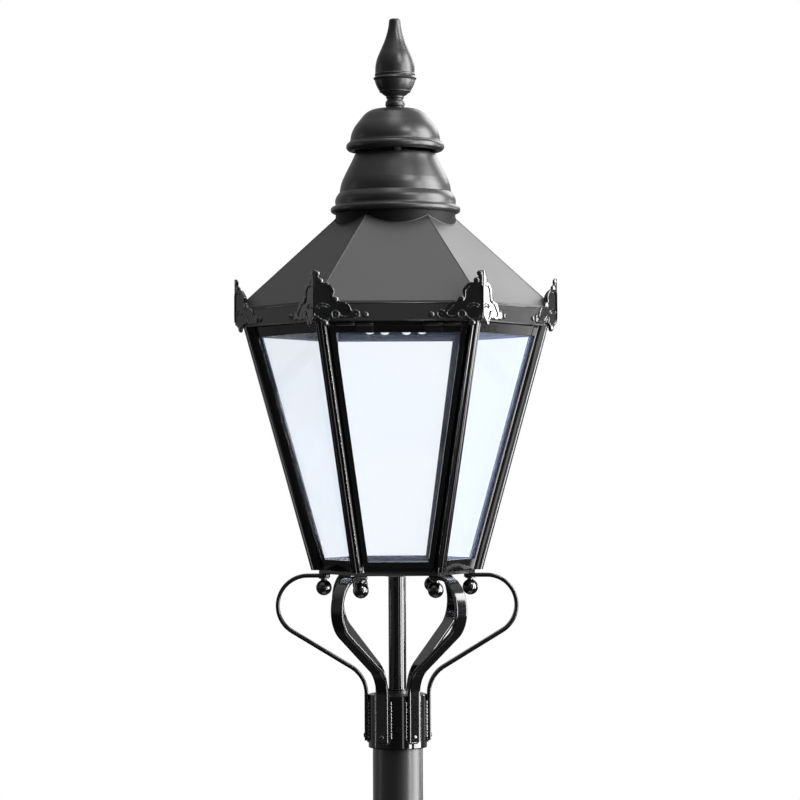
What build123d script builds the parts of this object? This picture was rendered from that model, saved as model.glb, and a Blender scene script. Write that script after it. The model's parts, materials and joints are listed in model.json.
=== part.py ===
from build123d import *
import os
from math import atan, cos, degrees, radians, sin, sqrt, tan

# Street lamp post: a tubular column carrying a six-sided lantern on six curved legs.
# Millimetres, +Z up, origin at the centre of the base plate's underside, lantern door towards -Y.

os.makedirs("parts", exist_ok=True)

# ---- Column
PLATE_SIZE = 300
PLATE_THICK = 16
PLATE_BORE_R = 50
ANCHOR_SPACING = 220
ANCHOR_HOLE_R = 11
BASE_R = 69.85
BASE_WALL = 4
BASE_TOP = 1000
GUSSET_REACH = 58
GUSSET_HEIGHT = 90
GUSSET_THICK = 10
SHAFT_R = 38.05
SHAFT_WALL = 3.2
SHAFT_TOP = 2497
SHAFT_SOCKET = 60
SHOULDER_HEIGHT = 62
DOOR_WIDTH = 95
DOOR_LOW = 420
DOOR_HIGH = 820
DOOR_GAP = 2

# ---- Column door hinges and lock
HINGE_X = -58
HINGE_OUT = 6
HINGE_R = 5
HINGE_PIN_R = 2.5
KNUCKLE_LENGTH = 20
HINGE_HEIGHTS = (490, 730)
RUNNING_GAP = 0.06
STRAP_THICK = 3
LOCK_X = 33
LOCK_Z = 620
LOCK_R = 8
CAM_REACH = 21

# ---- Lantern, measured up from the underside of its glazed cage
LANTERN_BASE = SHAFT_TOP + 190
SIDES = 6
CORNER_R0 = 118.7
CORNER_SPREAD = 0.2753
CAGE_TOP = 372
RING_BOTTOM = -2.3
RING_TOP = 3
RAIL_HEIGHT = 20
FRONT_RAIL_HEIGHT = 15
COVER_TOP = 15
CABLE_Z = 9.2
CABLE_AZIMUTH = 120
CABLE_R = 3.5
TOP_RAIL_LOW = 357
DOOR_FOOT = 11.5
DOOR_GLASS_LOW = 16.5
DOOR_TOP = 366
DOOR_HEAD_LOW = 364
LEAF_LOW = 370.4
FLANGE_REACH = 12.5
FLANGE_THICK = 3.5
RIB_HALF = 7.5
RIB_PROUD = 11
WEB_HALF = 4
WEB_DEPTH = 16
PANE_THICK = 3
PANE_INSET = 9
FASCIA_R = 241
FASCIA_TOP = 398.6
FASCIA_THICK = 3
ROOF_EDGE_R = 240
ROOF_EDGE_Z = 402
ROOF_RISE = 0.909
ROOF_THICK = 2.9
NECK_R = 91.3
HOOD_TOP = 635.5
DOME_CROWN = 703.5
TRAY_Z = 375
TRAY_R = 205
LENS_RING_R = 43.5
LENS_R = 9.5

# ---- Lantern legs
LEG_BAR = 6
LEG_WIDTH = 20
LEG_Z = -5.3
STUD_R = 3
STUD_RING_R = 111.3
BALL_R = 12
BALL_Z = -23.5
COLLAR_R = 44.45
COLLAR_LOW = -266
COLLAR_HIGH = -185
CONDUIT_R = 13.45
CONDUIT_BORE_R = 10.85

# ---- Lantern door, hung on an axis along X in front of the cage's top edge
DOOR_AXIS_Y = -199.5
DOOR_AXIS_Z = 368.4
BARREL_R = 3.25
BARREL_PIN_R = 1.6
BARREL_FROM = 37
BARREL_LENGTH = 54
FRAME_FRONT = 5.5
FRAME_BACK = 0.5
FRAME_INSET = 9.4
STILE_WIDTH = 8

FACE_TILT = atan(CORNER_SPREAD * cos(radians(30)))
FACE_AZIMUTHS = [-90 + 60 * n for n in range(SIDES)]
CORNER_AZIMUTHS = [60 * n for n in range(SIDES)]


# ---- Helpers
def save(name, *solids):
    """Write one named piece, or one group of like pieces, as a STEP file."""
    shape = solids[0] if len(solids) == 1 else Compound(children=list(solids))
    export_step(shape, f"parts/{name}.step")


def save_lantern(name, *solids):
    """Write a piece that was drawn in the lantern's own heights."""
    save(name, *[Pos(0, 0, LANTERN_BASE) * solid for solid in solids])


def tube(outer, inner, low, high):
    """An upright tube on the Z axis."""
    return rod(outer, low, high) - rod(inner, low - 1, high + 1)


def rod(radius, low, high, x=0, y=0):
    """An upright cylinder from one height to another."""
    return Pos(x, y, (low + high) / 2) * Cylinder(radius, high - low)


def block(x0, x1, y0, y1, z0, z1):
    """A box between pairs of coordinates."""
    centre = Pos((x0 + x1) / 2, (y0 + y1) / 2, (z0 + z1) / 2)
    return centre * Box(x1 - x0, y1 - y0, z1 - z0)


def polar(azimuth, radius, z=0):
    """A place at a compass angle and distance from the axis."""
    return Pos(radius * cos(radians(azimuth)), radius * sin(radians(azimuth)), z)


def around(solid, azimuths):
    """Copies of a solid turned about the Z axis."""
    return [Rot(0, 0, azimuth) * solid for azimuth in azimuths]


def turned(*edges):
    """A solid of revolution about Z from a closed outline drawn as radius and height."""
    outline = make_face(Curve() + list(edges))
    return revolve(Plane.XZ * outline, Axis.Z)


def hexagon(corner_radius, z):
    """A horizontal hexagon with corners towards +X and -X."""
    return Pos(0, 0, z) * RegularPolygon(corner_radius, SIDES)


def hex_prism(corner_radius, low, high):
    return extrude(hexagon(corner_radius, low), high - low)


def wedge(azimuth, half_angle=30, low=-100, high=700):
    """A sector of space about one azimuth."""
    reach = 400
    half = reach * tan(radians(half_angle))
    sector = extrude(Polygon((0, 0), (reach, -half), (reach, half), align=None), high - low)
    return Rot(0, 0, azimuth) * Pos(0, 0, low) * sector


def six_sectors(ring):
    """A hexagonal ring cut into its six mitred lengths."""
    return [ring & wedge(azimuth) for azimuth in FACE_AZIMUTHS]


def corner_radius(z):
    """Corner radius of the glazed cage's outer skin at a height."""
    return CORNER_R0 + CORNER_SPREAD * z


def face_plane(azimuth):
    """The tilted plane of one glazed face: X along it, Y up the slope, Z outward."""
    a = radians(azimuth)
    apothem = CORNER_R0 * cos(radians(30))
    outward = (cos(a) * cos(FACE_TILT), sin(a) * cos(FACE_TILT), -sin(FACE_TILT))
    return Plane(origin=(apothem * cos(a), apothem * sin(a), 0), x_dir=(-sin(a), cos(a), 0), z_dir=outward)


def face_slab(azimuth, corners, back, front):
    """A flat slab in a glazed face. Each corner is side, inset from that side's edge, height."""
    points = [(side * (corner_radius(z) / 2 - inset), z / cos(FACE_TILT)) for side, inset, z in corners]
    slab = Pos(0, 0, back) * extrude(Polygon(*points, align=None), front - back, dir=(0, 0, 1))
    return face_plane(azimuth).location * slab


def face_panel(azimuth, inset, low, high, back, front):
    """A trapezium across a glazed face with an even inset on both sides."""
    corners = [(-1, inset, low), (1, inset, low), (1, inset, high), (-1, inset, high)]
    return face_slab(azimuth, corners, back, front)


# ---- Column
def base_plate():
    plate = block(-PLATE_SIZE / 2, PLATE_SIZE / 2, -PLATE_SIZE / 2, PLATE_SIZE / 2, 0, PLATE_THICK)
    plate = fillet(plate.edges().filter_by(Axis.Z), 18)
    plate -= rod(PLATE_BORE_R, -1, PLATE_THICK + 1)
    half = ANCHOR_SPACING / 2
    for x in (-half, half):
        for y in (-half, half):
            plate -= rod(ANCHOR_HOLE_R, -1, PLATE_THICK + 1, x, y)
    return plate


def base_gusset():
    low = PLATE_THICK
    side = Polygon(
        (BASE_R - 3, low),
        (BASE_R + GUSSET_REACH, low),
        (BASE_R + GUSSET_REACH, low + 14),
        (BASE_R + 8, low + GUSSET_HEIGHT),
        (BASE_R - 3, low + GUSSET_HEIGHT),
        align=None,
    )
    return extrude(Plane.XZ * side, GUSSET_THICK / 2, both=True) - rod(BASE_R, 0, 200)


def base_tube():
    body = tube(BASE_R, BASE_R - BASE_WALL, PLATE_THICK, BASE_TOP)
    return body - block(-DOOR_WIDTH / 2, DOOR_WIDTH / 2, -80, 0, DOOR_LOW, DOOR_HIGH)


def shoulder_collar():
    bore = SHAFT_R
    neck = bore + 7
    top = BASE_TOP + SHOULDER_HEIGHT
    return turned(
        Polyline((neck, top), (bore, top), (bore, BASE_TOP - 35), (BASE_R - BASE_WALL, BASE_TOP - 35)),
        Polyline((BASE_R - BASE_WALL, BASE_TOP - 35), (BASE_R - BASE_WALL, BASE_TOP), (BASE_R + 2, BASE_TOP)),
        Polyline((BASE_R + 2, BASE_TOP), (BASE_R + 2, BASE_TOP + 14), (BASE_R - 2, BASE_TOP + 18)),
        ThreePointArc((BASE_R - 2, BASE_TOP + 18), (neck + 7, BASE_TOP + 34), (neck, top)),
    )


def shaft_tube():
    return tube(SHAFT_R, SHAFT_R - SHAFT_WALL, BASE_TOP - SHAFT_SOCKET, SHAFT_TOP)


def hinge_y():
    """Depth of the column door's hinge axis, a fixed distance off the tube's skin."""
    return -sqrt((BASE_R + HINGE_OUT) ** 2 - HINGE_X**2)


def column_hinge_parts():
    """Fixed knuckles, their pins, and the straps that carry the access door."""
    x = HINGE_X
    y = hinge_y()
    azimuth = degrees(atan(y / x)) + 180
    fixed = []
    pins = []
    straps = []
    for low in HINGE_HEIGHTS:
        middle = low + KNUCKLE_LENGTH
        high = middle + 0.5 + KNUCKLE_LENGTH
        stub = Rot(0, 0, azimuth) * block(BASE_R - 3, BASE_R + HINGE_OUT, -4, 4, low, middle)
        knuckle = (rod(HINGE_R, low, middle, x, y) + stub) - rod(HINGE_PIN_R, low - 1, high + 1, x, y)
        fixed.append(knuckle - rod(BASE_R, low - 1, middle + 1))
        pins.append(rod(HINGE_PIN_R, low, high + 3, x, y))
        strap = tube(BASE_R + STRAP_THICK + 0.5, BASE_R, middle + 0.5, high)
        strap &= Rot(0, 0, azimuth) * block(0, 90, 0, 90, middle, high + 1)
        strap &= block(-90, -18, -90, 0, middle, high + 1)
        over_tube = block(x - 5, DOOR_GAP - DOOR_WIDTH / 2, -90, 0, middle, high + 1)
        strap -= rod(BASE_R + 0.5, middle, high + 1) & over_tube
        strap += rod(HINGE_R, middle + 0.5, high, x, y)
        straps.append(strap - rod(HINGE_PIN_R + RUNNING_GAP, middle, high + 1, x, y))
    return fixed, pins, straps


def along_y(radius, x, z, y0, y1):
    """A cylinder lying along Y."""
    return Pos(x, (y0 + y1) / 2, z) * Rot(90, 0, 0) * Cylinder(radius, y1 - y0)


def access_door():
    half = DOOR_WIDTH / 2 - DOOR_GAP
    skin = tube(BASE_R, BASE_R - BASE_WALL, DOOR_LOW + DOOR_GAP, DOOR_HIGH - DOOR_GAP)
    skin &= block(-half, half, -80, -20, DOOR_LOW, DOOR_HIGH)
    return skin - along_y(LOCK_R, LOCK_X, LOCK_Z, -80, -20)


def door_lock_body():
    barrel = along_y(LOCK_R, LOCK_X, LOCK_Z, -66, -45)
    return barrel - along_y(3 + RUNNING_GAP, LOCK_X, LOCK_Z, -70, -40) - along_y(5.5, LOCK_X, LOCK_Z, -70, -62)


def door_lock_cam():
    """Three-sided key head, spindle and a tongue that points up while the door is released."""
    head = Rot(90, 0, 0) * extrude(RegularPolygon(5, 3), 1.75, both=True)
    spindle = along_y(3, LOCK_X, LOCK_Z, -63, -28)
    tongue = block(LOCK_X - 5, LOCK_X + 5, -31, -28, LOCK_Z - 5, LOCK_Z + CAM_REACH)
    return Pos(LOCK_X, -64, LOCK_Z) * head + spindle + tongue


def backboard_brackets():
    inside = rod(BASE_R - BASE_WALL, 400, 850)
    return [block(-70, 70, 30, 36, z, z + 25) & inside for z in (465, 755)]


def cutout_base():
    """Service cut-out: a moulded block with the fuse carrier's pocket in its front."""
    body = block(-35, 35, -18, 18, 560, 680)
    return body - block(-11.6, 11.6, -19, 10, 584.5, 655.5)


def fuse_carrier():
    body = block(-11, 11, -18, 9, 585.5, 654.5)
    grip = block(-5, 5, -28, -18, 600, 640)
    return body + grip


def earth_stud():
    """A stud welded to the tube's wall inside the door, with its nut."""
    wall = rod(BASE_R - BASE_WALL, 400, 850)
    stud = Pos(-56, -5, 480) * Rot(0, 90, 0) * Cylinder(4, 24) & wall
    nut = Pos(-52, -5, 480) * Rot(0, 90, 0) * (extrude(RegularPolygon(7.5, 6), 6) - Cylinder(4, 30))
    return stud, nut


def cable_place(radius, height):
    """A point on the cable's way up beside the rear left corner post."""
    a = radians(CABLE_AZIMUTH)
    return (radius * cos(a), radius * sin(a), LANTERN_BASE + height)


def lamp_cable():
    """From the cut-out up the column, under the floor's cover and up behind a corner post."""
    route = [
        (18, 0, 680),
        (18, 0, 760),
        (0, 0, 860),
        cable_place(-5, CABLE_Z),
        cable_place(100, CABLE_Z),
        cable_place(184, 345),
        cable_place(184, 408),
        cable_place(140, 408),
    ]
    bends = [80, 80, 20, 24, 90, 24]
    path = FilletPolyline(*route, radius=bends)
    start = Plane(origin=route[0], z_dir=(0, 0, 1))
    cable = sweep(start * Circle(CABLE_R), path=path)
    print("lamp_cable bends", bends, "volume ratio", cable.volume / (3.14159265 * CABLE_R**2 * path.length))
    return cable


# ---- Lantern support
def frog_leg():
    """Flat bar in a radial plane: over the stud, round a bow and back to the collar."""
    bow = 45.5
    turn = radians(148.7)
    start = STUD_RING_R - LEG_WIDTH / 2 + 2
    crown = 136
    bow_end = (crown + bow * sin(turn), LEG_Z - bow + bow * cos(turn))
    bow_mid = (crown + bow * sin(turn / 2), LEG_Z - bow + bow * cos(turn / 2))
    foot = COLLAR_R + LEG_BAR / 2
    run = (bow_end[0] - foot) / -cos(turn)
    knee = bow_end[1] - run * sin(turn)
    lap = 47.5
    cut = lap * tan((turn - radians(90)) / 2)
    lap_start = (foot - cut * cos(turn), knee + cut * sin(turn))
    lap_turn = (turn - radians(90)) / 2
    lap_centre = (foot + lap, knee - cut)
    lap_mid = (lap_centre[0] - lap * cos(lap_turn), lap_centre[1] + lap * sin(lap_turn))
    path = Curve() + [
        Line((start, LEG_Z), (crown, LEG_Z)),
        ThreePointArc((crown, LEG_Z), bow_mid, bow_end),
        Line(bow_end, lap_start),
        ThreePointArc(lap_start, lap_mid, (foot, knee - cut)),
        Line((foot, knee - cut), (foot, -255)),
    ]
    path = Wire((Plane.XZ * path).edges())
    section = Plane(origin=(start, 0, LEG_Z), x_dir=(0, 1, 0), z_dir=(1, 0, 0)) * Rectangle(LEG_WIDTH, LEG_BAR)
    bar = sweep(section, path=path)
    bar += rod(LEG_WIDTH / 2, LEG_Z - LEG_BAR / 2, LEG_Z + LEG_BAR / 2, STUD_RING_R)
    return bar - rod(STUD_R, -40, 20, STUD_RING_R)


def leg_stud():
    return rod(STUD_R, BALL_Z + 3, 14, STUD_RING_R)


def ball_nut():
    neck_top = LEG_Z - LEG_BAR / 2
    ball = Pos(STUD_RING_R, 0, BALL_Z) * Sphere(BALL_R)
    ball += rod(5, BALL_Z, neck_top, STUD_RING_R)
    return ball - rod(STUD_R, BALL_Z + 3, 0, STUD_RING_R)


def collar_screws():
    """Three socket grub screws that clamp the collar to the shaft, midway between legs."""
    screw = Rot(0, 90, 0) * (Cylinder(4, 8) - Pos(0, 0, 3) * extrude(RegularPolygon(2.2, 6), 3))
    return around(Pos(COLLAR_R - 2, 0, -236) * screw, (-90, 30, 150))


def frog_collar():
    sleeve = tube(COLLAR_R, SHAFT_R + 0.1, COLLAR_LOW, COLLAR_HIGH)
    for azimuth in (-90, 30, 150):
        sleeve -= Rot(0, 0, azimuth) * Pos(COLLAR_R - 2, 0, -236) * Rot(0, 90, 0) * Cylinder(4, 12)
    return sleeve


def collar_bush():
    plug = rod(SHAFT_R + 0.1, COLLAR_HIGH - 5, COLLAR_HIGH) + rod(16.5, COLLAR_HIGH - 5, COLLAR_HIGH + 5)
    return plug - rod(CONDUIT_R, -250, -150)


def conduit_locknuts():
    nut = extrude(RegularPolygon(20, 6), 5) - Cylinder(CONDUIT_R, 30)
    return [Pos(0, 0, RING_TOP - 5) * nut, Pos(0, 0, RING_TOP - 10) * nut]


# ---- Lantern cage
def base_ring():
    ring = hex_prism(CORNER_R0, RING_BOTTOM, RING_TOP) - hex_prism(95, -10, 10)
    for azimuth in CORNER_AZIMUTHS:
        ring -= polar(azimuth, STUD_RING_R) * Cylinder(STUD_R, 40)
    return six_sectors(ring)


def floor_plate():
    plate = hex_prism(101, RING_TOP, RING_TOP + 2)
    return plate - rod(CONDUIT_R, 0, 20)


def floor_cover():
    """Pan over the conduit's mouth and the cable, notched where the cable climbs to a corner."""
    pan = hex_prism(101, RING_TOP + 2, COVER_TOP) - hex_prism(99, RING_TOP + 1, COVER_TOP - 2)
    return pan - Rot(0, 0, CABLE_AZIMUTH) * block(84, 110, -5, 5, RING_TOP + 1, COVER_TOP + 1)


def corner_post():
    """One leaning corner bar: glazing flanges, a radial web inside and a rounded rib outside."""
    flange_end = (-FLANGE_REACH / 2, FLANGE_REACH * cos(radians(30)))
    back = (-FLANGE_THICK * cos(radians(30)), -FLANGE_THICK / 2)
    half = Polygon(
        (0, 0),
        flange_end,
        (flange_end[0] + back[0], flange_end[1] + back[1]),
        (-FLANGE_THICK / cos(radians(30)), 0),
        align=None,
    )
    section = half + mirror(half, about=Plane.XZ)
    section += Pos(-WEB_DEPTH / 2 - 1, 0) * Rectangle(WEB_DEPTH - 2, 2 * WEB_HALF)
    rib = Pos(RIB_PROUD / 2 - 1.5, 0) * Rectangle(RIB_PROUD + 3, 2 * RIB_HALF)
    section += fillet(rib.vertices().group_by(Axis.X)[-1], 4)
    foot = Pos(corner_radius(RING_TOP), 0, RING_TOP) * section
    height = CAGE_TOP - RING_TOP
    lean = Vector(CORNER_SPREAD, 0, 1)
    bar = extrude(foot, height * lean.length, dir=lean.normalized())
    return bar - leg_stud()


def bottom_rail(azimuth):
    height = FRONT_RAIL_HEIGHT if azimuth == -90 else RAIL_HEIGHT
    return face_panel(azimuth, FLANGE_REACH, RING_TOP + 1, height, -FLANGE_THICK, 0)


def top_rail(azimuth):
    return face_panel(azimuth, FLANGE_REACH, TOP_RAIL_LOW, CAGE_TOP, -FLANGE_THICK, 0) & hex_prism(300, 0, CAGE_TOP)


def hinge_spans():
    """Where the two lantern hinges lie along X."""
    far = BARREL_FROM + BARREL_LENGTH
    return (-far, -BARREL_FROM), (BARREL_FROM, far)


def door_head():
    """Narrow rail above the lantern door; the door's top bar closes just under it."""
    head = face_panel(-90, FLANGE_REACH, DOOR_HEAD_LOW, CAGE_TOP, -FLANGE_THICK, 0) & hex_prism(300, 0, CAGE_TOP)
    return head - [block(x0, x1, -200, -180, LEAF_LOW, CAGE_TOP + 1) for x0, x1 in hinge_spans()]


def side_pane(azimuth):
    return face_panel(azimuth, PANE_INSET, 8, 366, -FLANGE_THICK - PANE_THICK, -FLANGE_THICK)


def glazing_bead(azimuth):
    back = -FLANGE_THICK - PANE_THICK
    bead = face_panel(azimuth, 10.4, 10, 364, back - 2, back)
    return bead - face_panel(azimuth, 15.4, 16, 358, back - 3, back + 1)


def top_ring():
    ring = hex_prism(FASCIA_R - FASCIA_THICK / cos(radians(30)), CAGE_TOP, TRAY_Z) - hex_prism(200, 300, 400)
    return six_sectors(ring)


def fascia_screw(side):
    """A domed set screw through the fascia beside a coronet."""
    face = FASCIA_R * cos(radians(30))
    head = Pos(0, 0, -1.2) * Sphere(4.7) & Pos(0, 0, 1.5) * Box(12, 12, 3)
    screw = head + Pos(0, 0, -4) * Cylinder(2.5, 8.5)
    return Pos(face, side * 47.75, 381.4) * Rot(0, 90, 0) * screw


def fascia_band():
    inner = FASCIA_R - FASCIA_THICK / cos(radians(30))
    band = hex_prism(FASCIA_R, CAGE_TOP, FASCIA_TOP) - hex_prism(inner, 300, 450)
    strips = []
    for azimuth in FACE_AZIMUTHS:
        strip = band & wedge(azimuth)
        for side in (-1, 1):
            hole = Pos(FASCIA_R * cos(radians(30)), side * 47.75, 381.4) * Rot(0, 90, 0) * Cylinder(2.5, 20)
            strip -= Rot(0, 0, azimuth) * hole
        strips.append(strip)
    return strips


def coronet():
    """A cast crest folded round a fascia corner: leaf outline, scroll lobes and ball ends."""
    fold = 245.5
    face = FASCIA_R * cos(radians(30))
    leaf = Polygon(
        (-2, 374),
        (15, 371),
        (31, 377),
        (62, 375),
        (66, 379),
        (56, 386),
        (47, 394),
        (37, 401),
        (28.5, 408),
        (30, 416),
        (21, 425),
        (11, 429),
        (5, 438),
        (-2, 441),
        align=None,
    )
    balls = ((3.2, 441, 4), (9.7, 431, 4.5), (32.8, 404, 4.6), (60.3, 381.8, 5), (15.5, 370, 4.3))
    for across, up, radius in balls:
        leaf += Pos(across, up) * Circle(radius)
    leaf -= Pos(13.5, 393) * Rectangle(19, 6)
    place = Plane(origin=(face, -fold / 2, 0), x_dir=(0, 1, 0), z_dir=(1, 0, 0)).location
    wing = Rot(0, 0, 30) * (place * extrude(leaf, fold * cos(radians(30)) - face, dir=(0, 0, 1))) & wedge(30)
    return wing + mirror(wing, about=Plane.XZ)



# ---- Roof and ventilator
def roof_panels():
    """Six sloping sheets with mitred ridges and a turned-down lip inside the fascia."""
    top = 560
    edge_low = ROOF_EDGE_Z - ROOF_THICK

    def pyramid(base_z):
        top_r = ROOF_EDGE_R - (top - base_z) / ROOF_RISE
        low_r = ROOF_EDGE_R + 20
        low_z = base_z - 20 * ROOF_RISE
        return loft([hexagon(low_r, low_z), hexagon(top_r, top)])

    shell = pyramid(ROOF_EDGE_Z) - pyramid(edge_low)
    shell &= hex_prism(ROOF_EDGE_R, edge_low, top - 1)
    lip_r = FASCIA_R - FASCIA_THICK / cos(radians(30))
    shell += hex_prism(lip_r, 386, 403) - hex_prism(lip_r - 2.3, 300, 450)
    return six_sectors(shell - rod(NECK_R, 300, 600))


def vent_neck():
    return tube(NECK_R, NECK_R - 1.5, 505, 545)


def vent_body():
    """Bell-shaped ventilator hood with a stepped moulding and a bead at its foot."""
    return turned(
        Spline((61.8, HOOD_TOP), (65.9, 626), (73.5, 611), (80.7, 596), (84.6, 581), (85, 577.7)),
        Line((85, 577.7), (86.4, 575)),
        ThreePointArc((86.4, 575), (92.2, 566), (91.6, 558)),
        Line((91.6, 558), (94, 555)),
        ThreePointArc((94, 555), (99, 550), (94, 545)),
        Polyline((94, 545), (88, 545), (88, 570), (82.6, 577.7)),
        Spline((82.6, 577.7), (78.5, 595), (71.4, 610), (63.8, 625), (59.7, HOOD_TOP)),
        Line((59.7, HOOD_TOP), (61.8, HOOD_TOP)),
    )


def vent_spider():
    """Three arms across the hood's mouth with a hub that carries the dome's crown."""
    hub = rod(10, HOOD_TOP, DOME_CROWN)
    for azimuth in (30, 150, 270):
        hub += Rot(0, 0, azimuth) * block(0, 60.5, -2, 2, HOOD_TOP, HOOD_TOP + 8)
    return hub - rod(4, 600, 750)


def vent_dome():
    """Spun cap with a rolled edge."""
    skin = turned(
        Polyline((4, DOME_CROWN), (4, 705.5), (20, 705.5)),
        Spline((20, 705.5), (37.3, 702.5), (48, 695), (54.5, 687), (64.7, 672), (68.5, 657), (68.7, 647)),
        Polyline((68.7, 647), (66.5, 647), (66.5, 656)),
        Spline((66.5, 656), (62.8, 671), (52.8, 685.4), (46.6, 693.2), (36.6, 700.5), (20, DOME_CROWN)),
        Line((20, DOME_CROWN), (4, DOME_CROWN)),
    )
    bead = Pos(0, 0, 647) * Torus(67.5, 7.5)
    return skin + (bead - rod(66.5, 600, 660))


def finial():
    """Turned spike with a ringed neck, a round bowl and a sharp band, bored for the tie rod."""
    return turned(
        Polyline((0, 843), (0, 730), (4, 730), (4, 705.5), (13.5, 705.5), (13.5, 707.5)),
        ThreePointArc((13.5, 707.5), (14.9, 713), (12.5, 718.5)),
        Line((12.5, 718.5), (12.5, 720.5)),
        ThreePointArc((12.5, 720.5), (13.8, 722), (13.5, 724)),
        Spline((13.5, 724), (18, 726.5), (20.8, 729.5)),
        Line((20.8, 729.5), (23.6, 731)),
        Spline((23.6, 731), (26, 735.9), (28.3, 740.4), (30, 744.8), (30.9, 748.4)),
        Polyline((30.9, 748.4), (33.2, 751.2), (30.3, 754.6)),
        Spline((30.3, 754.6), (30.1, 763.2), (28.2, 778.4), (22.3, 793.6), (15.8, 808.8), (11.1, 824), (8.8, 839)),
        Polyline((8.8, 839), (7, 842), (0, 843)),
    )


def tie_rod():
    """Threaded rod that pulls finial, dome and hood down onto a bridge in the neck."""
    bridge = block(-NECK_R + 1.5, NECK_R - 1.5, -10, 10, 509, 513) & rod(NECK_R - 1.5, 500, 520)
    return bridge - rod(4, 500, 520), rod(4, 505, 730), rod(7.5, 503, 509) - rod(4, 500, 520)


# ---- Light source
def gear_tray():
    plate = hex_prism(TRAY_R, TRAY_Z, TRAY_Z + 2)
    return plate - polar(120, 184) * Cylinder(9, 2000)


def led_board():
    return rod(58, TRAY_Z - 2, TRAY_Z)


def led_lenses():
    lens = Pos(0, 0, TRAY_Z - 3.5) * Sphere(LENS_R) & Pos(0, 0, TRAY_Z - 12) * Box(30, 30, 20)
    return [polar(22.5 + 45 * n, LENS_RING_R) * lens for n in range(8)]


def led_driver():
    case = block(-65, 65, -22, 22, TRAY_Z + 2, TRAY_Z + 30)
    feet = block(-75, 75, -12, 12, TRAY_Z + 2, TRAY_Z + 4)
    return case + feet


def terminal_block():
    body = block(116, 140, -22, 22, TRAY_Z + 2, TRAY_Z + 44)
    return Rot(0, 0, 120) * body


# ---- Lantern door
def door_bars():
    outer = FRAME_INSET
    inner = FRAME_INSET + STILE_WIDTH
    spans = []
    for side in (-1, 1):
        foot = [(side, outer, DOOR_FOOT), (side, inner, DOOR_FOOT)]
        head = [(side, inner, DOOR_TOP), (side, outer, DOOR_TOP)]
        spans.append(face_slab(-90, foot + head, FRAME_BACK, FRAME_FRONT))
    for low, high in ((DOOR_FOOT, RAIL_HEIGHT), (TOP_RAIL_LOW, DOOR_TOP)):
        spans.append(face_panel(-90, inner, low, high, FRAME_BACK, FRAME_FRONT))
    return spans


def door_glass():
    return face_panel(-90, 13.6, DOOR_GLASS_LOW, 363, -0.3 - PANE_THICK, -0.3)


def door_seal():
    seal = face_panel(-90, 13.6, DOOR_GLASS_LOW, 363, -0.3, FRAME_BACK)
    return seal - face_panel(-90, FRAME_INSET + STILE_WIDTH, RAIL_HEIGHT, TOP_RAIL_LOW, -1, 1)


def along_x(radius, x0, x1):
    """A cylinder on the lantern door's hinge axis."""
    return Pos((x0 + x1) / 2, DOOR_AXIS_Y, DOOR_AXIS_Z) * Rot(0, 90, 0) * Cylinder(radius, x1 - x0)


def lantern_hinge_parts():
    """Fixed leaves under the top ring, their pins, and the leaves on the door's top rail."""
    fixed = []
    pins = []
    moving = []
    for x0, x1 in hinge_spans():
        middle = (x0 + x1) / 2
        m0, m1 = (middle + 0.25, x1) if middle < 0 else (x0, middle - 0.25)
        f0, f1 = (x0, middle - 0.25) if middle < 0 else (middle + 0.25, x1)
        plate = block(x0, x1, -195.2, -180, LEAF_LOW, CAGE_TOP)
        plate += block(f0, f1, DOOR_AXIS_Y, -194, LEAF_LOW, DOOR_AXIS_Z + BARREL_R) + along_x(BARREL_R, f0, f1)
        fixed.append(plate - along_x(BARREL_PIN_R, x0 - 5, x1 + 5))
        pins.append(along_x(BARREL_PIN_R, x0, x1))
        leaf_low = TOP_RAIL_LOW / cos(FACE_TILT)
        leaf = block(m0, m1, leaf_low, leaf_low + 10.8, FRAME_FRONT, FRAME_FRONT + 1.3)
        leaf = face_plane(-90).location * leaf
        leaf += along_x(BARREL_R, m0, m1)
        moving.append(leaf - along_x(BARREL_PIN_R + RUNNING_GAP, x0 - 5, x1 + 5))
    return fixed, pins, moving


# ---- Write every piece
def write_column():
    knuckles, pins, straps = column_hinge_parts()
    save("base_plate", base_plate())
    save("base_gussets", *around(base_gusset(), (0, 90, 180, 270)))
    save("base_tube", base_tube())
    save("shoulder_collar", shoulder_collar())
    save("shaft_tube", shaft_tube())
    save("column_hinge_knuckles", *knuckles)
    save("column_hinge_pins", *pins)
    save("access_door_straps", *straps)
    save("access_door", access_door())
    save("door_lock_body", door_lock_body())
    save("door_lock_cam", door_lock_cam())
    save("backboard_brackets", *backboard_brackets())
    save("backboard", block(-45, 45, 18, 30, 450, 790))
    save("cutout_base", cutout_base())
    save("fuse_carrier", fuse_carrier())
    save("earth_stud", *earth_stud())
    save("lamp_cable", lamp_cable())


def write_support():
    save_lantern("frog_collar", frog_collar())
    save_lantern("collar_bush", collar_bush())
    save_lantern("collar_screws", *collar_screws())
    save_lantern("frog_legs", *around(frog_leg(), CORNER_AZIMUTHS))
    save_lantern("leg_studs", *around(leg_stud(), CORNER_AZIMUTHS))
    save_lantern("ball_nuts", *around(ball_nut(), CORNER_AZIMUTHS))
    save_lantern("conduit", tube(CONDUIT_R, CONDUIT_BORE_R, -230, RING_TOP + 2))
    save_lantern("conduit_locknuts", *conduit_locknuts())


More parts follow.
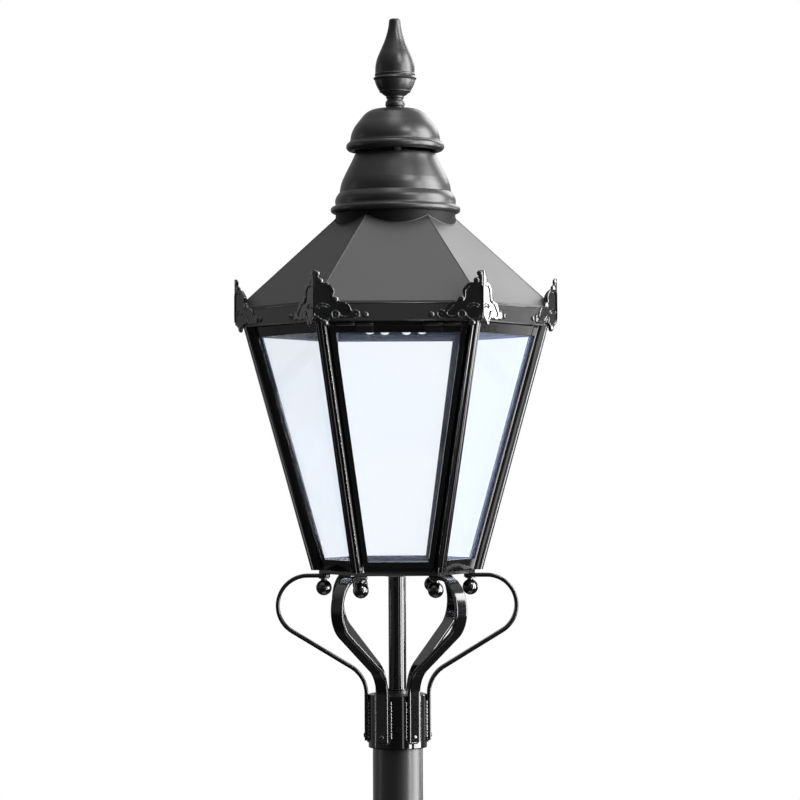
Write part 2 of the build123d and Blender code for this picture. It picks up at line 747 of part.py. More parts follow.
def write_cage():
    sides = FACE_AZIMUTHS[1:]
    save_lantern("base_ring", *base_ring())
    save_lantern("floor_plate", floor_plate())
    save_lantern("floor_cover", floor_cover())
    for number, post in enumerate(around(corner_post(), CORNER_AZIMUTHS), start=1):
        save_lantern(f"corner_post_{number}", post)
    save_lantern("bottom_rails", *[bottom_rail(azimuth) for azimuth in FACE_AZIMUTHS])
    save_lantern("top_rails", *[top_rail(azimuth) for azimuth in sides], door_head())
    save_lantern("side_panes", *[side_pane(azimuth) for azimuth in sides])
    save_lantern("glazing_beads", *[glazing_bead(azimuth) for azimuth in sides])
    save_lantern("top_ring", *top_ring())
    save_lantern("fascia_band", *fascia_band())
    screws = [fascia_screw(-1), fascia_screw(1)]
    save_lantern("fascia_screws", *[Rot(0, 0, azimuth) * screw for azimuth in FACE_AZIMUTHS for screw in screws])
    save_lantern("coronets", *around(coronet(), CORNER_AZIMUTHS))


def write_roof():
    save_lantern("roof_panels", *roof_panels())
    save_lantern("vent_neck", vent_neck())
    save_lantern("vent_body", vent_body())
    save_lantern("vent_spider", vent_spider())
    save_lantern("vent_dome", vent_dome())
    save_lantern("finial", finial())
    save_lantern("tie_rod", *tie_rod())


def write_light():
    save_lantern("gear_tray", gear_tray())
    save_lantern("led_board", led_board())
    save_lantern("led_lenses", *led_lenses())
    save_lantern("led_driver", led_driver())
    save_lantern("terminal_block", terminal_block())


def write_lantern_door():
    fixed, pins, moving = lantern_hinge_parts()
    save_lantern("lantern_hinge_leaves", *fixed)
    save_lantern("lantern_hinge_pins", *pins)
    save_lantern("door_hinge_leaves", *moving)
    save_lantern("door_frame", *door_bars())
    save_lantern("door_glass", door_glass())
    save_lantern("door_seal", door_seal())


write_column()
write_support()
write_cage()
write_roof()
write_light()
write_lantern_door()
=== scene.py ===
"""Street lamp post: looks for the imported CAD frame. Lengths in this file are millimetres unless said."""

import json
from math import cos, pi, radians, sin, sqrt, tan

import bmesh
import bpy
from mathutils import Matrix, Vector


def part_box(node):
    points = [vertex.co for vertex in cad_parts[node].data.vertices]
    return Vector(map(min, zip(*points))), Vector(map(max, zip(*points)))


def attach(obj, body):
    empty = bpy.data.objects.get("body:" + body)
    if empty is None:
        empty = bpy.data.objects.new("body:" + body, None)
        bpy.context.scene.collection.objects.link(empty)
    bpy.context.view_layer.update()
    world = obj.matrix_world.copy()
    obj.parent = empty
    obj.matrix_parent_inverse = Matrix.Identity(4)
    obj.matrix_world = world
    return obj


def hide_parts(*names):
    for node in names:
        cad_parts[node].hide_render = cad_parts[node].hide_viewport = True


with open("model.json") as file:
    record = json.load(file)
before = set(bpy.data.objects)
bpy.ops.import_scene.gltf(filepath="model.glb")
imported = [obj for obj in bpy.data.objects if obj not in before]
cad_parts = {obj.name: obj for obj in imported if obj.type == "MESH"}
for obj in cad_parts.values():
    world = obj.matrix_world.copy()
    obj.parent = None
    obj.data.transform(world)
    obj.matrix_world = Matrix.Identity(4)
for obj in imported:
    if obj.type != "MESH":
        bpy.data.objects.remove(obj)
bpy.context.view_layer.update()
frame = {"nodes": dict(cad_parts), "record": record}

MM = 0.001
SAME_POINT = 1e-6  # metres within which two points are one
SIDES = 6
CORNER_AZIMUTHS = [60 * n for n in range(SIDES)]
FACE_AZIMUTHS = [60 * n - 90 for n in range(SIDES)]
COS30 = cos(radians(30))


def corner_of(node, which):
    """Lowest (0) or highest (1) corner of a CAD node's box, in millimetres."""
    return [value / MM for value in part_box(node)[which]]


# ---- Driving sizes that the frame doesn't give
RING_DROP = 2.3  # the base ring hangs this far below the lantern's own zero
BALL_R = 12
STUD_R = 3
LENS_RING_R = 43.5
LENS_COUNT = 8
GUSSET_COUNT = 4
GUSSET_HALF = 5
RIB_PROUD = 11  # how far a corner post's nose stands out of the cage's skin
WING_TOE = 3.4  # degrees a crest's wing leans in from its fold to touch the fascia
LEG_HALF_WIDTH = 10.0
LEG_HALF_THICK = 3.0
LEG_EASE = 1.9
LEG_FOOT = -255.0

# ---- Driving places, read from the frame
SHAFT_R = corner_of("shaft_tube", 1)[0]
BASE_R = corner_of("base_tube", 1)[0]
PLATE_TOP = corner_of("base_plate", 1)[2]
COLLAR_R = corner_of("frog_collar", 1)[0]
RING_BOTTOM = corner_of("base_ring", 0)[2]
LANTERN = RING_BOTTOM + RING_DROP
CAGE_R0 = corner_of("base_ring", 1)[0]
CAGE_TOP = corner_of("corner_post_1", 1)[2] - LANTERN
FASCIA_R = corner_of("fascia_band", 1)[0]
FASCIA_LOW = corner_of("fascia_band", 0)[2] - LANTERN
FASCIA_HIGH = corner_of("fascia_band", 1)[2] - LANTERN
CREST_R = corner_of("coronets", 1)[0]
NECK_R = corner_of("vent_neck", 1)[0]
ROOF_EDGE_R = corner_of("roof_panels", 1)[0]
BALL_Z = corner_of("ball_nuts", 0)[2] + BALL_R - LANTERN
STUD_RING_R = corner_of("leg_studs", 1)[0] - STUD_R
LEG_START_R = STUD_RING_R - LEG_HALF_WIDTH
LED_FACE = corner_of("led_board", 0)[2]
SHOULDER_TOP = corner_of("shoulder_collar", 1)[2]
GUSSET_TIP_R = corner_of("base_gussets", 1)[0]
GUSSET_TOP = corner_of("base_gussets", 1)[2]
CAGE_SPREAD = (corner_of("corner_post_1", 1)[0] - RIB_PROUD - CAGE_R0) / CAGE_TOP


def place(x, y, z):
    """A translation in millimetres, as a matrix in metres."""
    return Matrix.Translation(Vector((x, y, z)) * MM)


def turn(degrees_about_z):
    return Matrix.Rotation(radians(degrees_about_z), 4, "Z")


# ---- Mesh helpers. Meshes are made in metres from millimetre arguments.
def mesh_from(points, faces):
    mesh = bpy.data.meshes.new("part")
    mesh.from_pydata([Vector(point) * MM for point in points], [], faces)
    mesh.validate()
    return mesh


def catmull_rom(a, b, c, d, t):
    """One coordinate on a Catmull-Rom curve, a share t of the way from b to c."""
    return 0.5 * (2 * b + (c - a) * t + (2 * a - 5 * b + 4 * c - d) * t * t + (3 * b - a - 3 * c + d) * t**3)


def smooth_line(points, steps=6):
    """A Catmull-Rom line through the given points."""
    ends = [points[0]] + list(points) + [points[-1]]
    line = []
    for p0, p1, p2, p3 in zip(ends, ends[1:], ends[2:], ends[3:]):
        for step in range(steps):
            t = step / steps
            line.append(tuple(catmull_rom(*values, t) for values in zip(p0, p1, p2, p3)))
    line.append(tuple(points[-1]))
    return line


def arc_line(centre, radius, start, end, steps=12):
    """Points on a circular arc in a plane, angles in degrees."""
    angles = [radians(start + (end - start) * n / steps) for n in range(steps + 1)]
    return [(centre[0] + radius * cos(a), centre[1] + radius * sin(a)) for a in angles]


def lathe(outline, segments=144):
    """Turn an outline of (radius, height) about the Z axis; radius 0 closes to a point."""
    points = []
    rows = []
    for radius, height in outline:
        if radius < 1e-6:
            rows.append([len(points)])
            points.append((0, 0, height))
            continue
        rows.append(list(range(len(points), len(points) + segments)))
        for n in range(segments):
            angle = 2 * pi * n / segments
            points.append((radius * cos(angle), radius * sin(angle), height))
    faces = []
    for low, high in zip(rows, rows[1:]):
        for n in range(segments):
            after = (n + 1) % segments
            if len(low) == 1 and len(high) == 1:
                continue
            if len(low) == 1:
                faces.append((low[0], high[after], high[n]))
            elif len(high) == 1:
                faces.append((low[n], low[after], high[0]))
            else:
                faces.append((low[n], low[after], high[after], high[n]))
    return mesh_from(points, faces)


def loft(rings, closed_ends=True, closed_path=False):
    """Skin a list of equal-length point rings."""
    count = len(rings[0])
    points = [point for ring in rings for point in ring]
    faces = []
    pairs = list(zip(range(len(rings)), range(1, len(rings))))
    if closed_path:
        pairs.append((len(rings) - 1, 0))
    for a, b in pairs:
        for n in range(count):
            m = (n + 1) % count
            faces.append((a * count + n, a * count + m, b * count + m, b * count + n))
    if closed_ends and not closed_path:
        faces.append(tuple(reversed(range(count))))
        faces.append(tuple(range((len(rings) - 1) * count, len(rings) * count)))
    return mesh_from(points, faces)


def curve_mesh(curve):
    """Turn curve data into a mesh and drop the curve."""
    holder = bpy.data.objects.new("holder", curve)
    bpy.context.scene.collection.objects.link(holder)
    bpy.context.view_layer.update()
    mesh = bpy.data.meshes.new_from_object(holder.evaluated_get(bpy.context.evaluated_depsgraph_get()))
    bpy.data.objects.remove(holder)
    bpy.data.curves.remove(curve)
    return mesh


def tube(points, radius, closed=False, round_steps=5):
    """A round bar along points."""
    curve = bpy.data.curves.new("tube", "CURVE")
    curve.dimensions = "3D"
    curve.bevel_depth = radius * MM
    curve.bevel_resolution = round_steps
    curve.use_fill_caps = True
    spline = curve.splines.new("POLY")
    spline.points.add(len(points) - 1)
    for target, point in zip(spline.points, points):
        x, y, z = (list(point) + [0])[:3]
        target.co = (x * MM, y * MM, z * MM, 1)
    spline.use_cyclic_u = closed
    return curve_mesh(curve)


def plate(outline, thickness, rounding=0.6, holes=()):
    """A flat casting with rounded edges: an outline in XY raised along Z from 0."""
    curve = bpy.data.curves.new("plate", "CURVE")
    curve.dimensions = "2D"
    curve.fill_mode = "BOTH"
    curve.extrude = (thickness / 2 - rounding) * MM
    curve.bevel_depth = rounding * MM
    curve.bevel_resolution = 3
    curve.offset = -rounding * MM
    for loop in (outline, *holes):
        spline = curve.splines.new("POLY")
        spline.points.add(len(loop) - 1)
        for target, point in zip(spline.points, loop):
            target.co = (point[0] * MM, point[1] * MM, 0, 1)
        spline.use_cyclic_u = True
    mesh = curve_mesh(curve)
    mesh.transform(place(0, 0, thickness / 2))
    hold_flats(mesh)
    return mesh


def hold_flats(mesh, level=0.9999):
    """Mark the border between flat Z faces and their rounded edges sharp, so the flats stay flat."""
    shape = bmesh.new()
    shape.from_mesh(mesh)
    bmesh.ops.remove_doubles(shape, verts=shape.verts, dist=SAME_POINT)
    for edge in shape.edges:
        flats = [abs(face.normal.z) > level for face in edge.link_faces]
        edge.smooth = len(set(flats)) < 2
    shape.to_mesh(mesh)
    shape.free()


def ball(radius, flatten=1.0, rings=20):
    """A ball turned from a half circle, flattened along Z if asked."""
    angles = [pi * n / rings for n in range(rings + 1)]
    outline = [(radius * sin(angle), -radius * flatten * cos(angle)) for angle in angles]
    outline[0] = (0, -radius * flatten)
    outline[-1] = (0, radius * flatten)
    return lathe(outline, 40)


def assemble(name, parts, material, body="post", replaces=(), angle=35, keep_normals=False):
    """One object from (mesh, matrix) pairs, riding on a CAD body."""
    shape = bmesh.new()
    for mesh, matrix in parts:
        copy = mesh.copy()
        copy.transform(matrix)
        shape.from_mesh(copy)
        bpy.data.meshes.remove(copy)
    bmesh.ops.remove_doubles(shape, verts=shape.verts, dist=SAME_POINT)
    if not keep_normals:
        bmesh.ops.recalc_face_normals(shape, faces=shape.faces)
    result = bpy.data.meshes.new(name)
    shape.to_mesh(result)
    shape.free()
    result.materials.append(material)
    piece = bpy.data.objects.new(name, result)
    bpy.context.scene.collection.objects.link(piece)
    shade(piece, angle)
    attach(piece, body)
    if replaces:
        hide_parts(*replaces)
    return piece


def shade(piece, angle=35):
    """Smooth shading; edges marked before, open ones and those past an angle stay sharp."""
    mesh = piece.data
    mesh.shade_smooth()
    shape = bmesh.new()
    shape.from_mesh(mesh)
    limit = radians(angle)
    for edge in shape.edges:
        edge.smooth = edge.smooth and len(edge.link_faces) == 2 and edge.calc_face_angle(0) < limit
    shape.to_mesh(mesh)
    shape.free()


def soften(node, width, segments=2):
    """Small rounded edges on a CAD piece, by modifier only."""
    piece = frame["nodes"][node]
    weld = piece.modifiers.new("weld", "WELD")
    weld.merge_threshold = 10 * SAME_POINT
    bevel = piece.modifiers.new("edges", "BEVEL")
    bevel.width = width * MM
    bevel.segments = segments
    bevel.limit_method = "ANGLE"
    bevel.angle_limit = radians(40)
    bevel.harden_normals = True
    bevel.use_clamp_overlap = True


# ---- Materials
def principled(name):
    """A new node material with its shader and the object's own coordinates."""
    material = bpy.data.materials.new(name)
    material.use_nodes = True
    nodes = material.node_tree.nodes
    links = material.node_tree.links
    shader = nodes["Principled BSDF"]
    coords = nodes.new("ShaderNodeTexCoord").outputs["Object"]
    return material, nodes, links, shader, coords


def noise(nodes, links, coords, scale, detail=3.0, stretch=None):
    """A noise value; stretch squeezes it along an axis."""
    node = nodes.new("ShaderNodeTexNoise")
    node.inputs["Scale"].default_value = scale
    node.inputs["Detail"].default_value = detail
    if stretch:
        mapping = nodes.new("ShaderNodeMapping")
        mapping.inputs["Scale"].default_value = stretch
        links.new(coords, mapping.inputs["Vector"])
        coords = mapping.outputs["Vector"]
    links.new(coords, node.inputs["Vector"])
    return node.outputs["Fac"]


def ramp(nodes, links, value, low, high, start=0.35, end=0.65):
    """Mix two colours by a value."""
    node = nodes.new("ShaderNodeValToRGB")
    node.color_ramp.elements[0].position = start
    node.color_ramp.elements[1].position = end
    node.color_ramp.elements[0].color = (*low, 1)
    node.color_ramp.elements[1].color = (*high, 1)
    links.new(value, node.inputs["Fac"])
    return node.outputs["Color"]


def spread(nodes, links, value, low, high):
    """Rescale a noise value to a working range."""
    node = nodes.new("ShaderNodeMapRange")
    node.inputs["From Min"].default_value = 0.3
    node.inputs["From Max"].default_value = 0.7
    node.inputs["To Min"].default_value = low
    node.inputs["To Max"].default_value = high
    links.new(value, node.inputs["Value"])
    return node.outputs["Result"]


def bump(nodes, links, shader, value, strength, depth):
    """Fine relief on a surface, its depth in millimetres."""
    node = nodes.new("ShaderNodeBump")
    node.inputs["Strength"].default_value = strength
    node.inputs["Distance"].default_value = depth * MM
    links.new(value, node.inputs["Height"])
    links.new(node.outputs["Normal"], shader.inputs["Normal"])


def paint(name, dark, light, rough, grain, depth, coat=0.0, metal=0.0, ior=1.5):
    """Sprayed or powder-coated finish: cloudy tone, uneven gloss and a fine skin texture."""
    material, nodes, links, shader, coords = principled(name)
    clouds = noise(nodes, links, coords, 7)
    skin = noise(nodes, links, coords, grain, 2)
    links.new(ramp(nodes, links, clouds, dark, light), shader.inputs["Base Color"])
    links.new(spread(nodes, links, clouds, *rough), shader.inputs["Roughness"])
    shader.inputs["Metallic"].default_value = metal
    shader.inputs["IOR"].default_value = ior
    shader.inputs["Coat Weight"].default_value = coat
    shader.inputs["Coat Roughness"].default_value = 0.05
    bump(nodes, links, shader, skin, 0.35, depth)
    return material


def clear_glazing():
    """Faintly blue clear sheet with a light film of dust."""
    material, nodes, links, shader, coords = principled("clear_glazing")
    film = noise(nodes, links, coords, 5, 5)
    links.new(ramp(nodes, links, film, (0.975, 0.995, 1.0), (0.985, 0.998, 1.0)), shader.inputs["Base Color"])
    links.new(spread(nodes, links, film, 0.0, 0.01), shader.inputs["Roughness"])
    shader.inputs["Transmission Weight"].default_value = 0.995
    shader.inputs["IOR"].default_value = 1.17
    shader.inputs["Sheen Weight"].default_value = 0.12
    shader.inputs["Sheen Roughness"].default_value = 0.9
    shader.inputs["Sheen Tint"].default_value = (0.40, 0.55, 1.0, 1.0)
    return material


def plywood():
    material, nodes, links, shader, coords = principled("board")
    grain = noise(nodes, links, coords, 30, 6, stretch=(1, 1, 0.05))
    links.new(ramp(nodes, links, grain, (0.30, 0.19, 0.10), (0.50, 0.36, 0.21)), shader.inputs["Base Color"])
    shader.inputs["Roughness"].default_value = 0.7
    bump(nodes, links, shader, grain, 0.3, 0.2)
    return material


def zinc():
    """Plated steel with a fine brushed direction."""
    material, nodes, links, shader, coords = principled("zinc_steel")
    lines = noise(nodes, links, coords, 60, 4, stretch=(1, 1, 12))
    links.new(ramp(nodes, links, lines, (0.36, 0.37, 0.38), (0.56, 0.56, 0.55)), shader.inputs["Base Color"])
    links.new(spread(nodes, links, lines, 0.25, 0.42), shader.inputs["Roughness"])
    shader.inputs["Metallic"].default_value = 1.0
    bump(nodes, links, shader, lines, 0.15, 0.05)
    return material


GLOSS = paint(
    "gloss_black_paint", (0.002, 0.002, 0.0022), (0.0035, 0.0035, 0.0038), (0.08, 0.12), 420, 0.012, ior=1.62
)
CASTING = paint(
    "gloss_black_castings", (0.0018, 0.0018, 0.002), (0.003, 0.003, 0.0033), (0.07, 0.12), 260, 0.02, ior=1.9
)
SATIN = paint("satin_black_paint", (0.007, 0.007, 0.0073), (0.011, 0.011, 0.0114), (0.31, 0.37), 900, 0.03)
ROOF = paint("roof_black_paint", (0.018, 0.018, 0.0185), (0.024, 0.024, 0.0245), (0.44, 0.50), 700, 0.06)
# Painted shade: a darker, rougher, barely reflective copy of the black paint for the neck, standing in for
# the shade under the hood.
SHADED = paint(
    "neck_painted_shade_paint", (0.002, 0.002, 0.0022), (0.003, 0.003, 0.0033), (0.45, 0.55), 700, 0.05, ior=1.2
)
HARDWARE = paint("hinge_black_paint", (0.004, 0.004, 0.0045), (0.008, 0.008, 0.0085), (0.16, 0.24), 500, 0.02)
ENAMEL = paint("white_enamel", (0.80, 0.81, 0.82), (0.88, 0.88, 0.88), (0.25, 0.35), 300, 0.02)
LENS = paint("lens_plastic", (0.86, 0.88, 0.90), (0.93, 0.94, 0.95), (0.08, 0.15), 200, 0.01, coat=0.5)
CASE = paint("white_case", (0.74, 0.74, 0.72), (0.80, 0.80, 0.79), (0.4, 0.5), 800, 0.05)
MOULDING = paint("black_moulding", (0.02, 0.02, 0.021), (0.035, 0.035, 0.036), (0.4, 0.55), 900, 0.06)
CARRIER = paint("grey_moulding", (0.28, 0.28, 0.29), (0.36, 0.36, 0.37), (0.4, 0.5), 900, 0.06)
JACKET = paint("cable_jacket", (0.02, 0.02, 0.02), (0.035, 0.035, 0.035), (0.55, 0.7), 600, 0.08)
RUBBER = paint("seal_rubber", (0.012, 0.012, 0.012), (0.02, 0.02, 0.02), (0.6, 0.75), 900, 0.08)
BRASS = paint("brass", (0.42, 0.29, 0.11), (0.55, 0.40, 0.17), (0.25, 0.4), 300, 0.03, metal=1.0)
GLASS = clear_glazing()
BOARD = plywood()
ZINC = zinc()

BY_SLOT = {
    "gloss_black_paint": GLOSS,
    "satin_black_paint": SATIN,
    "gloss_black_castings": CASTING,
    "clear_glazing": GLASS,
    "zinc_steel": ZINC,
    "brass": BRASS,
    "board": BOARD,
    "black_moulding": MOULDING,
    "grey_moulding": CARRIER,
    "cable_jacket": JACKET,
    "white_enamel": ENAMEL,
    "lens_plastic": LENS,
    "white_case": CASE,
    "seal_rubber": RUBBER,
}
BY_NODE = {
    "roof_panels": ROOF,
    "column_hinge_knuckles": HARDWARE,
    "access_door_straps": HARDWARE,
    "lantern_hinge_leaves": HARDWARE,
    "door_hinge_leaves": HARDWARE,
    "collar_screws": HARDWARE,
    "conduit": GLOSS,
    # the neck takes the painted-shade copy of the black paint
    "vent_neck": SHADED,
}


def finish_cad_pieces():
    """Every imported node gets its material; plain-edged metal also gets small rounded edges."""
    for entry in frame["record"]["subparts"]:
        node = entry["node"]
        material = BY_NODE.get(node, BY_SLOT[entry["material_slot"]])
        piece = frame["nodes"][node]
        piece.data.materials.clear()
        piece.data.materials.append(material)
    for node in ("top_rails", "bottom_rails", "door_frame", "base_ring"):
        soften(node, 0.7)
    for node in ("base_plate", "base_gussets", "backboard", "cutout_base", "fuse_carrier", "shoulder_collar"):
        soften(node, 1.5)
    for node in ("access_door", "base_tube", "shaft_tube", "collar_bush", "led_driver"):
        soften(node, 0.6)
    for node in ("lantern_hinge_leaves", "door_hinge_leaves", "access_door_straps", "column_hinge_knuckles"):
        soften(node, 0.3)


# ---- Lantern pieces. Heights are in the lantern's own frame, up from the cage's underside.
LIFT = place(0, 0, LANTERN)


def cage_corner(z):
    """Corner radius of the cage's skin at a height."""
    return CAGE_R0 + CAGE_SPREAD * z


def finial():
    """Turned spike: ringed neck, round bowl, sharp band and a drawn-out tip."""
    outline = [(13.4, 705.5), (13.5, 707.4)]
    outline += smooth_line([(13.6, 707.8), (14.7, 710), (14.9, 713), (14.0, 716), (12.8, 718)], 5)
    outline += [(12.2, 718.6), (12.1, 720), (12.6, 720.6)]
    outline += smooth_line([(12.9, 720.8), (13.7, 721.8), (13.6, 723), (13.9, 724)], 4)
    outline += smooth_line([(14.1, 724.3), (16.6, 725.8), (19.2, 727.6), (20.8, 729.4)], 5)
    outline += smooth_line([(21.4, 729.6), (23.2, 730.4), (24.0, 731.6), (23.7, 732.4)], 4)
    outline += smooth_line([(23.9, 732.6), (26, 735.9), (28.3, 740.4), (30.0, 744.8), (30.9, 748.4)], 6)
    outline += [(31.2, 748.9), (32.9, 750.8), (33.2, 751.3), (32.9, 751.8), (30.6, 754.2), (30.2, 754.8)]
    outline += smooth_line([(30.1, 755.4), (30.8, 756.6), (30.8, 758), (30.2, 759)], 4)
    shoulder = [(30.1, 759.6), (30.1, 763.2), (29.7, 770.8), (28.2, 778.4), (25.7, 786), (22.3, 793.6)]
    outline += smooth_line(shoulder, 5)
    outline += smooth_line([(22.2, 793.8), (19, 801.2), (15.8, 808.8), (13.3, 816.4), (11.1, 824)], 5)
    outline += smooth_line([(11.05, 824.3), (9.6, 831.6), (8.9, 838), (8.7, 840)], 5)
    outline += smooth_line([(8.6, 840.4), (7.6, 842), (5.4, 842.8), (3, 843)], 4)
    outline = [(0, 705.5), *outline, (0, 843)]
    assemble("finial_turned", [(lathe(outline), LIFT)], SATIN, replaces=["finial"])


def spun_dome():
    """Cap with a rolled rim: the sheet runs down, out round the bead and back inside."""
    skin = [(4, 703.8), (4, 705.5), (19.4, 705.5), (20.4, 705.0)]
    skin += smooth_line([(20.8, 704.8), (30, 704.4), (37.3, 702.5), (43.4, 699), (48, 695), (54.5, 687)], 6)
    skin += smooth_line([(54.6, 686.8), (60.4, 679.6), (64.7, 672), (67.4, 664.4), (68.5, 657.4)], 6)
    skin += smooth_line([(68.7, 656.4), (69.3, 654.8), (70.8, 653.9)], 4)
    skin += arc_line((68.0, 646.9), 6.9, 66, -140, 22)
    skin += [(64.4, 648), (66.0, 657), (61.9, 671), (52, 685)]
    skin += [(44, 694), (35, 699.6), (20, 702.4), (4, 703.8)]
    assemble("dome_spun", [(lathe(skin), LIFT)], SATIN, replaces=["vent_dome"])


def spun_hood():
    """Bell hood: rounded top rim, stepped torus moulding and a heavy bead over the neck."""
    skin = [(59.9, 634.9), (60.8, 635.5)]
    skin += smooth_line([(61.8, 635.0), (65.9, 626), (69.9, 618), (73.5, 611), (77.6, 602.6), (80.7, 596)], 5)
    skin += smooth_line([(80.9, 595.4), (83.2, 588.6), (84.6, 581), (85, 577.7)], 5)
    torus = [(85.2, 576.9), (86.6, 575.6), (88.2, 573.4), (90.6, 569.6), (91.9, 565.6), (92.1, 562)]
    skin += smooth_line(torus, 5)
    skin += smooth_line([(92.0, 561), (91.6, 558.4), (92.2, 556.6)], 4)
    skin += arc_line((93.6, 550.4), 5.4, 100, -110, 22)
    skin += [(90, 545.2), (88, 546.5), (88, 560), (86, 570), (82.6, 578), (81, 588), (76, 600), (63, 626)]
    skin += [(59.9, 634.9)]
    assemble("hood_spun", [(lathe(skin), LIFT)], SATIN, replaces=["vent_body"])


def post_section():
    """Half outline of a corner bar, radial then tangential, from the web round to the nose."""
    half = [(-16, 3.0), (-15, 4), (-6.35, 4), (-9.1, 9.1), (-9.0, 9.9), (-7.2, 10.9), (-6.2, 10.7)]
    half += [(-4.6, 7.9), (-3.8, 7.5), (5.6, 7.5), (7.4, 7.2), (8.3, 6.2), (8.4, 5.2), (7.7, 4.5)]
    half += [(7.6, 3.9), (8.3, 3.5), (9.8, 3.1), (10.7, 2.1), (11, 0.8)]
    return half + [(x, -y) for x, y in reversed(half)]


def corner_posts():
    """Ribbed bars that lean outward from the base ring to the top of the cage."""
    section = post_section()
    foot_rise, spans = 5.3, 6
    low = RING_BOTTOM + foot_rise - LANTERN
    heights = [low + (CAGE_TOP - low) * n / spans for n in range(spans + 1)]
    rings = [[(cage_corner(z) + x, y, z) for x, y in section] for z in heights]
    mesh = loft(rings)
    for number, azimuth in enumerate(CORNER_AZIMUTHS, start=1):
        name = f"corner_bar_{number}"
        node = f"corner_post_{number}"
        parts = [(mesh, LIFT @ turn(azimuth))]
        assemble(name, parts, GLOSS, replaces=[node], angle=30)


def leg_line():
    """Centreline of a leg as (radius, height, direction) from the stud to the foot."""
    bow, lap = 45.5, 47.5
    turn_angle = radians(148.7)
    crown, level = 136.0, BALL_Z + 18.2
    foot = COLLAR_R + LEG_HALF_THICK
    bow_steps, lap_steps, foot_steps = 30, 14, 4
    line = []
    for step in (0.4, 1.2, 2.5, 4.5, 7, 10, 16, 24.7):
        line.append((LEG_START_R + step, level, 0.0))
    for n in range(bow_steps + 1):
        a = turn_angle * n / bow_steps
        line.append((crown + bow * sin(a), level - bow + bow * cos(a), -a))
    end_r, end_z = line[-1][:2]
    run = (end_r - foot) / -cos(turn_angle)
    knee = end_z - run * sin(turn_angle)
    cut = lap * tan((turn_angle - pi / 2) / 2)
    for n in range(lap_steps + 1):
        a = (turn_angle - pi / 2) * (1 - n / lap_steps)
        line.append((foot + lap - lap * cos(a), knee - cut + lap * sin(a), -pi / 2 - a))
    for n in range(1, foot_steps + 1):
        line.append((foot, knee - cut + (LEG_FOOT - knee + cut) * n / foot_steps, -pi / 2))
    return line


def eased_corner(half_width, half_thick, ease):
    """Points from the side face to the broad face round one corner of a bar."""
    lead = 1.6 * ease
    corner = [(half_width, half_thick - lead), (half_width, half_thick - ease)]
    for angle in (30, 60):
        a = radians(angle)
        corner.append((half_width - ease * (1 - cos(a)), half_thick - ease * (1 - sin(a))))
    return corner + [(half_width - ease, half_thick), (half_width - lead, half_thick)]


def frog_legs():
    """Flat bars with eased edges, rounded over the stud."""
    least = 0.2
    rings = []
    for r, z, direction in leg_line():
        along = (cos(direction), sin(direction))
        out = (-along[1], along[0])
        reach = min(1.0, (r - LEG_START_R) / LEG_HALF_WIDTH) if direction == 0 else 1.0
        width = LEG_HALF_WIDTH * sqrt(1 - (1 - reach) ** 2)
        ring = []
        for side, face in ((1, 1), (-1, 1), (-1, -1), (1, -1)):
            corner = eased_corner(width, LEG_HALF_THICK, LEG_EASE)
            if side * face < 0:
                corner.reverse()
            for across, up in corner:
                ring.append((r + out[0] * up * face, max(across, least) * side, z + out[1] * up * face))
        rings.append(ring)
    mesh = loft(rings)
    for number, azimuth in enumerate(CORNER_AZIMUTHS, start=1):
        name = f"leg_bar_{number}"
        matrix = LIFT @ turn(azimuth)
        assemble(name, [(mesh, matrix)], GLOSS, replaces=["frog_legs"], angle=40)


def weld(path, radius, seed, around=12):
    """A rippled bead along a path of (across, height) on the collar's surface."""
    rings = []
    travelled = 0.0
    for n, (across, height) in enumerate(path):
        before = path[max(n - 1, 0)]
        after = path[min(n + 1, len(path) - 1)]
        run = (after[0] - before[0], after[1] - before[1])
        length = sqrt(run[0] ** 2 + run[1] ** 2)
        normal = (-run[1] / length, run[0] / length)
        travelled += length / 2
        ripple = 1 + 0.13 * sin(travelled * 1.25 + seed) + 0.06 * sin(travelled * 0.47 + 2 * seed)
        if n in (0, len(path) - 1):
            ripple *= 0.35
        skin = sqrt(COLLAR_R**2 - across**2) + 0.3
        reach = radius * ripple
        ring = []
        for step in range(around):
            angle = 2 * pi * step / around
            side = reach * sin(angle)
            out = skin + 0.8 * reach * cos(angle)
            ring.append((out, across + normal[0] * side, height + normal[1] * side))
        rings.append(ring)
    return loft(rings)


def leg_welds():
    """Beads down both edges and round the foot of every leg, and a plug weld near the foot."""
    top, low, side, corner_r = -193.0, -250.0, 11.3, 6.5
    plug_r, plug_z, bar_face = 3.6, -247.5, COLLAR_R + 5.9
    inner = side - corner_r
    down = [(side, top + (low - top) * n / 40) for n in range(41)]
    down += [(x, low + 1 + y) for x, y in arc_line((inner, 0), corner_r, -8, -88, 8)]
    across = [(inner - 2 * inner * n / 8, low - 5.6) for n in range(1, 8)]
    path = down + across + [(-x, y) for x, y in reversed(down)]
    outward = Matrix.Rotation(radians(90), 4, "Y")
    parts = []
    for number, azimuth in enumerate(CORNER_AZIMUTHS):
        matrix = LIFT @ turn(azimuth)
        parts.append((weld(path, 2.7, number * 1.7), matrix))
        parts.append((ball(plug_r, 0.5), matrix @ place(bar_face, 0, plug_z) @ outward))
    assemble("leg_welds", parts, CASTING, angle=60)


